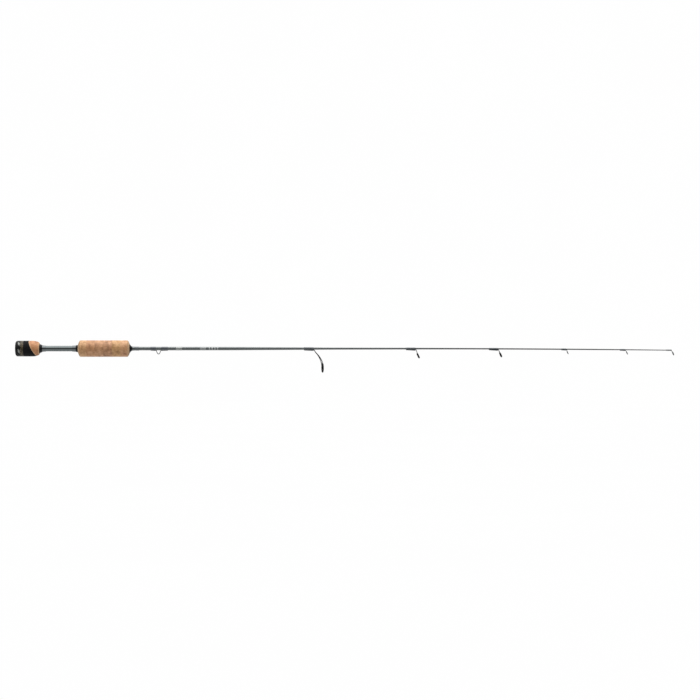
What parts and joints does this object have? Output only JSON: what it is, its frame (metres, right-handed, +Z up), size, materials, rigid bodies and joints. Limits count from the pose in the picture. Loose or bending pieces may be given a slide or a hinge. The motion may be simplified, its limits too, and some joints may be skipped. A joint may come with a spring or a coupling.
{
  "type": "ice fishing rod",
  "caption": "Short spinning-style ice fishing rod: slim drooping blank, split cork grip, single-foot line guides and a bent-wire hook keeper.",
  "frame": {"origin": "centre of the butt's flat end face", "axes": "+X from the butt to the tip along the handle's axis, +Z up, line guides hanging towards -Z"},
  "size_m": [0.9144, 0.0228, 0.0449],
  "materials": {
    "cork": "sanded natural cork with dark pits and faint glue lines",
    "black_rubber": "satin moulded cap with a painted ring of light strokes",
    "black_foam": "fine-grained dense foam",
    "olive_band": "glossy mottled olive-brown",
    "black_check": "satin moulded",
    "grey_trim": "polished, dark grey anodised",
    "tube_metal": "polished silver-grey with fine lengthwise drawing lines",
    "bush": "wound tape arbor",
    "graphite": "glossy clear-coated dark gunmetal graphite",
    "thread": "blue-black winding thread under glossy rod varnish",
    "silver_thread": "silver-grey winding thread under glossy rod varnish",
    "keeper_steel": "grey plated wire",
    "guide_black": "gloss black-plated wire",
    "guide_steel": "grey plated wire",
    "ceramic": "polished black ceramic"
  },
  "bodies": {
    "root": {"blank": "graphite", "blank_bush_front": "bush", "blank_bush_rear": "bush", "butt_band": "olive_band", "butt_cap": "black_rubber", "butt_collar": "grey_trim", "butt_cork": "cork", "butt_sleeve": "black_foam", "butt_winding_check": "black_check", "cork_ring_1": "cork", "cork_ring_2": "cork", "cork_ring_3": "cork", "cork_ring_4": "cork", "cork_ring_5": "cork", "cork_ring_6": "cork", "front_wrap": "thread", "grip_front_check": "black_check", "grip_front_ring": "grey_trim", "grip_rear_check": "black_check", "grip_rear_collar": "grey_trim", "guide_1_frame": "guide_black", "guide_1_ring": "ceramic", "guide_1_wrap": "thread", "guide_2_frame": "guide_black", "guide_2_ring": "ceramic", "guide_2_wrap": "thread", "guide_3_frame": "guide_black", "guide_3_ring": "ceramic", "guide_3_wrap": "thread", "guide_4_frame": "guide_steel", "guide_4_ring": "ceramic", "guide_4_wrap": "thread", "guide_5_frame": "guide_steel", "guide_5_ring": "ceramic", "guide_5_wrap": "thread", "handle_tube": "tube_metal", "hook_keeper": "keeper_steel", "keeper_wrap_front": "thread", "keeper_wrap_rear": "thread", "tip_frame": "guide_steel", "tip_ring": "ceramic", "trim_wrap": "silver_thread"}
  },
  "joints": []
}
